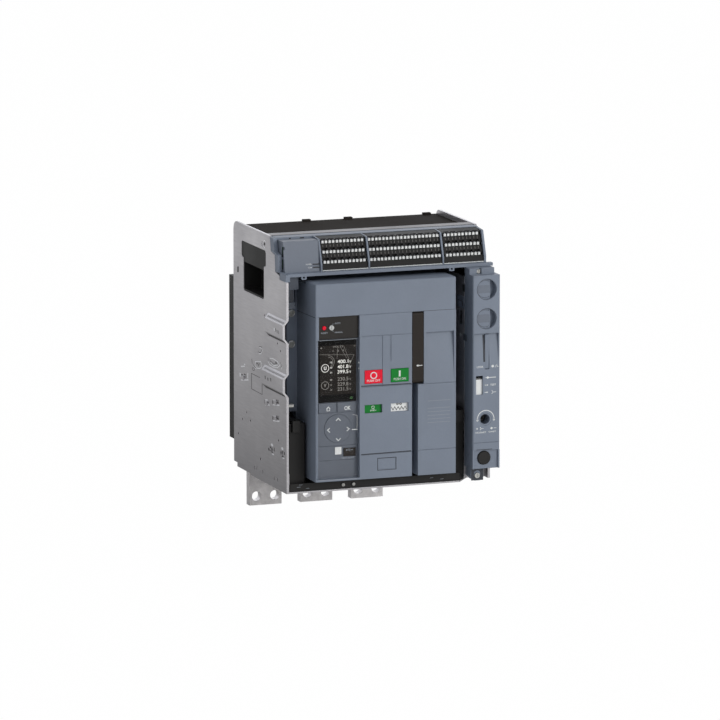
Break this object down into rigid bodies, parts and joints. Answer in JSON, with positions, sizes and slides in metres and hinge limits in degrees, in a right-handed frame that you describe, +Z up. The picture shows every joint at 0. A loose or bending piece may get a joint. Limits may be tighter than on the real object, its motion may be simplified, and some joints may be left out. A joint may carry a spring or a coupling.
{
  "type": "draw-out air circuit breaker",
  "caption": "Low-voltage air circuit breaker in its draw-out chassis, with racking gear, shutters, trip unit, control terminals and hanging rear terminals.",
  "frame": {"origin": "centre of the four base fixing holes, on the underside of the base plate", "axes": "+X to the right along the front, +Y from the front to the rear, +Z up"},
  "size_m": [0.29, 0.2789, 0.3815],
  "materials": {
    "sheet_steel": "satin zinc plated sheet",
    "blue_grey": "fine satin moulding",
    "black_plastic": "satin moulding",
    "dark_panel": "gloss",
    "tinned_copper": "tin plated, satin",
    "zinc_screw": "zinc plated",
    "white_plastic": "satin",
    "red_plastic": "satin gloss",
    "green_plastic": "satin gloss",
    "clear_plastic": "clear, polished",
    "spring_steel": "oiled"
  },
  "bodies": {
    "chassis": {"left_side_plate": "sheet_steel", "right_side_plate": "sheet_steel", "lifting_pockets": "black_plastic", "base_plate": "sheet_steel", "base_tray": "black_plastic", "rail_guides": "black_plastic", "racking_wall": "sheet_steel", "racking_housing": "blue_grey", "rear_housing": "black_plastic", "top_cover": "black_plastic", "upper_crossbar": "sheet_steel", "terminal_carrier": "blue_grey", "terminal_block_left": "black_plastic", "terminal_block_middle": "black_plastic", "terminal_block_right": "black_plastic", "terminal_levers": "white_plastic", "communication_module": "blue_grey", "upper_terminals": "tinned_copper", "lower_terminals": "tinned_copper", "terminal_flags": "tinned_copper", "chassis_screws": "zinc_screw"},
    "breaker": {"pole_case_front": "blue_grey", "pole_case_rear": "black_plastic", "arc_chutes": "black_plastic", "upper_contacts": "tinned_copper", "lower_contacts": "tinned_copper", "current_sensors": "black_plastic", "finger_clusters": "tinned_copper", "side_runners": "sheet_steel", "mechanism_plates": "sheet_steel", "closing_spring": "spring_steel", "front_cover": "blue_grey", "right_cover": "blue_grey", "breaker_screws": "zinc_screw", "trip_unit_body": "blue_grey", "display_panels": "dark_panel"},
    "racking_screw": {"racking_screw": "spring_steel"},
    "carriage": {"racking_carriage": "sheet_steel"},
    "position_flag": {"position_flag": "white_plastic"},
    "release_button": {"release_button": "black_plastic"},
    "padlock_tab": {"padlock_tab": "blue_grey"},
    "left_rail": {"left_extension_rail": "black_plastic"},
    "right_rail": {"right_extension_rail": "black_plastic"},
    "upper_shutter": {"upper_shutter": "black_plastic"},
    "lower_shutter": {"lower_shutter": "black_plastic"},
    "off_button": {"off_button": "red_plastic"},
    "on_button": {"on_button": "green_plastic"},
    "contact_indicator": {"contact_indicator": "green_plastic"},
    "spring_indicator": {"spring_indicator": "white_plastic"},
    "charging_handle": {"charging_handle": "black_plastic"},
    "pole_shaft": {"pole_shaft": "spring_steel"},
    "moving_contacts": {"moving_contacts": "tinned_copper"},
    "cam_shaft": {"cam_shaft": "spring_steel"},
    "home_key": {"home_key": "blue_grey"},
    "ok_key": {"ok_key": "blue_grey"},
    "nav_pad": {"nav_pad": "blue_grey"},
    "reset_button": {"reset_button": "red_plastic"},
    "mode_selector": {"mode_selector": "white_plastic"},
    "usb_cover": {"usb_cover": "black_plastic"},
    "trip_unit_cover": {"trip_unit_cover": "clear_plastic"}
  },
  "joints": [
    {"name": "racking_travel", "type": "slide", "parent": "chassis", "child": "carriage", "axis": [0, -1, 0], "range_m": [0, 0.045]},
    {"name": "racking_screw_turn", "type": "hinge", "parent": "chassis", "child": "racking_screw", "pos_m": [0.135, 0, 0.0832], "axis": [0, -1, 0], "range_deg": [0, 2700]},
    {"name": "draw_out", "type": "slide", "parent": "carriage", "child": "breaker", "axis": [0, -1, 0], "range_m": [0, 0.17]},
    {"name": "position_flag_slide", "type": "slide", "parent": "chassis", "child": "position_flag", "axis": [0, 0, -1], "range_m": [0, 0.0161]},
    {"name": "release_button_push", "type": "slide", "parent": "chassis", "child": "release_button", "axis": [0, 1, 0], "range_m": [0, 0.004], "stiffness_N_per_m": 600, "springref_m": -0.002},
    {"name": "padlock_tab_pull", "type": "slide", "parent": "chassis", "child": "padlock_tab", "axis": [0, -1, 0], "range_m": [0, 0.022]},
    {"name": "left_rail_slide", "type": "slide", "parent": "chassis", "child": "left_rail", "axis": [0, -1, 0], "range_m": [0, 0.15]},
    {"name": "right_rail_slide", "type": "slide", "parent": "chassis", "child": "right_rail", "axis": [0, -1, 0], "range_m": [0, 0.15]},
    {"name": "upper_shutter_slide", "type": "slide", "parent": "chassis", "child": "upper_shutter", "axis": [0, 0, -1], "range_m": [0, 0.046]},
    {"name": "lower_shutter_slide", "type": "slide", "parent": "chassis", "child": "lower_shutter", "axis": [0, 0, 1], "range_m": [0, 0.046]},
    {"name": "off_button_push", "type": "slide", "parent": "breaker", "child": "off_button", "axis": [0, 1, 0], "range_m": [0, 0.004], "stiffness_N_per_m": 600, "springref_m": -0.002},
    {"name": "on_button_push", "type": "slide", "parent": "breaker", "child": "on_button", "axis": [0, 1, 0], "range_m": [0, 0.004], "stiffness_N_per_m": 600, "springref_m": -0.002},
    {"name": "contact_indicator_slide", "type": "slide", "parent": "breaker", "child": "contact_indicator", "axis": [0, 0, -1], "range_m": [0, 0.0131]},
    {"name": "spring_indicator_slide", "type": "slide", "parent": "breaker", "child": "spring_indicator", "axis": [0, 0, -1], "range_m": [0, 0.0131]},
    {"name": "charging_handle_pull", "type": "hinge", "parent": "breaker", "child": "charging_handle", "pos_m": [0.0441, -0.1145, 0.1415], "axis": [1, 0, 0], "range_deg": [0, 80], "stiffness_Nm_per_rad": 0.1, "springref_deg": -17.19},
    {"name": "pole_shaft_turn", "type": "hinge", "parent": "breaker", "child": "pole_shaft", "pos_m": [0, -0.03, 0.15], "axis": [1, 0, 0], "range_deg": [0, 40]},
    {"name": "contact_arm_swing", "type": "hinge", "parent": "breaker", "child": "moving_contacts", "pos_m": [0, 0.014, 0.128], "axis": [-1, 0, 0], "range_deg": [0, 22]},
    {"name": "cam_shaft_turn", "type": "hinge", "parent": "breaker", "child": "cam_shaft", "pos_m": [0.009, -0.076, 0.15], "axis": [1, 0, 0], "range_deg": [0, 180]},
    {"name": "home_key_push", "type": "slide", "parent": "breaker", "child": "home_key", "axis": [0, 1, 0], "range_m": [0, 0.0008], "stiffness_N_per_m": 1000, "springref_m": -0.0005},
    {"name": "ok_key_push", "type": "slide", "parent": "breaker", "child": "ok_key", "axis": [0, 1, 0], "range_m": [0, 0.0008], "stiffness_N_per_m": 1000, "springref_m": -0.0005},
    {"name": "nav_pad_push", "type": "slide", "parent": "breaker", "child": "nav_pad", "axis": [0, 1, 0], "range_m": [0, 0.0005], "stiffness_N_per_m": 1500, "springref_m": -0.0005},
    {"name": "reset_button_push", "type": "slide", "parent": "breaker", "child": "reset_button", "axis": [0, 1, 0], "range_m": [0, 0.0012], "stiffness_N_per_m": 800, "springref_m": -0.0005},
    {"name": "mode_selector_turn", "type": "hinge", "parent": "breaker", "child": "mode_selector", "pos_m": [-0.0708, -0.114, 0.2124], "axis": [0, 1, 0], "range_deg": [0, 90]},
    {"name": "usb_cover_lift", "type": "hinge", "parent": "breaker", "child": "usb_cover", "pos_m": [-0.0456, -0.114, 0.04705], "axis": [1, 0, 0], "range_deg": [0, 22]},
    {"name": "trip_cover_door", "type": "hinge", "parent": "breaker", "child": "trip_unit_cover", "pos_m": [-0.0906, -0.1193, 0.108], "axis": [0, 0, -1], "range_deg": [0, 95]}
  ],
  "couplings": [
    {"joint": "racking_screw_turn", "follows": "racking_travel", "rad_per_m": 1047},
    {"joint": "position_flag_slide", "follows": "racking_travel", "ratio": 0.3556},
    {"joint": "upper_shutter_slide", "follows": "draw_out", "ratio": 0.2704},
    {"joint": "lower_shutter_slide", "follows": "draw_out", "ratio": 0.2704},
    {"joint": "contact_arm_swing", "follows": "pole_shaft_turn", "ratio": 0.549},
    {"joint": "contact_indicator_slide", "follows": "pole_shaft_turn", "m_per_rad": 0.0186},
    {"joint": "spring_indicator_slide", "follows": "cam_shaft_turn", "m_per_rad": 0.00413}
  ]
}
